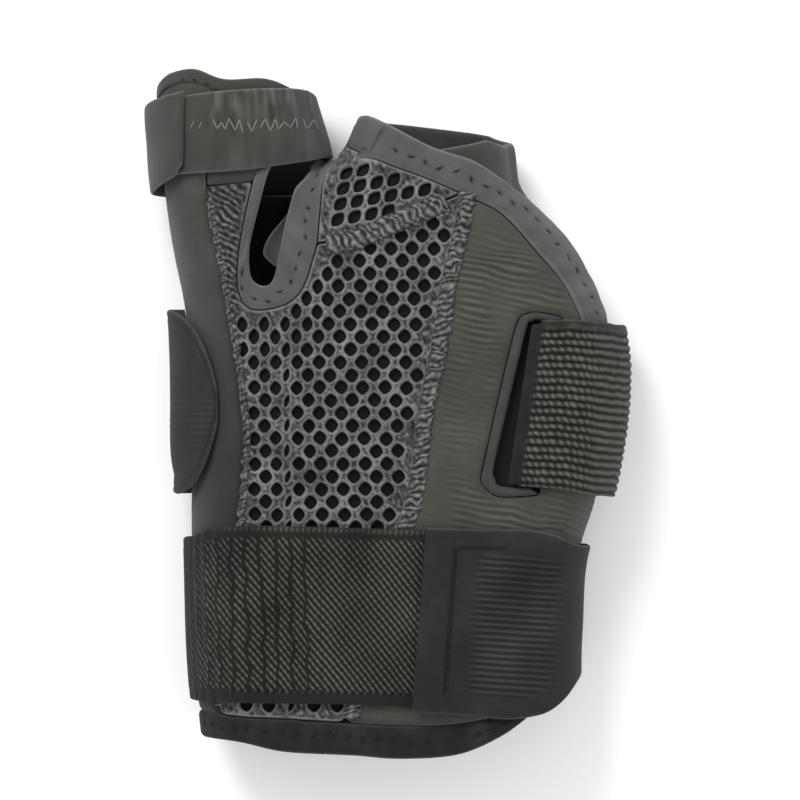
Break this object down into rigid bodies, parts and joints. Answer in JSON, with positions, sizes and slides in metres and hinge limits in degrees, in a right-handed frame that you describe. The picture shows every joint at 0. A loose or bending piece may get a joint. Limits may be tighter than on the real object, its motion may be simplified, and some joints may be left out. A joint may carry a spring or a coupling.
{
  "type": "thumb spica splint",
  "caption": "Padded thumb, palm and wrist splint sleeve with a net palm, a thumb opening, a slot for its hand strap, and wrist and thumb straps.",
  "frame": {"origin": "middle of the underside, on the surface that the splint lies on", "axes": "+Y towards the fingers, +Z out of the palm, -X towards the thumb"},
  "size_m": [0.137, 0.1922, 0.0492],
  "materials": {
    "padding": "matte brushed loop cloth over padding",
    "net": "matte knitted net with six-sided gaps",
    "lining": "matte dark lining",
    "binding": "matte folded binding with stitches",
    "webbing": "ribbed elastic webbing",
    "elastic": "twill elastic webbing",
    "tab": "matte fastening tab cloth"
  },
  "bodies": {
    "root": {"stay_panel": "padding", "thumb_stall": "padding", "thumb_rim": "binding", "palm_mesh": "net", "web_mesh": "net", "palm_lining": "lining", "ulnar_panel": "padding", "dorsal_panel": "padding", "web_binding": "binding", "finger_binding": "binding", "slot_binding": "binding", "wrist_hem": "binding", "hand_strap": "webbing", "hand_strap_tab": "tab", "wrist_strap": "elastic", "wrist_strap_tab": "tab", "thumb_strap": "elastic", "thumb_strap_tab": "tab"}
  },
  "joints": []
}
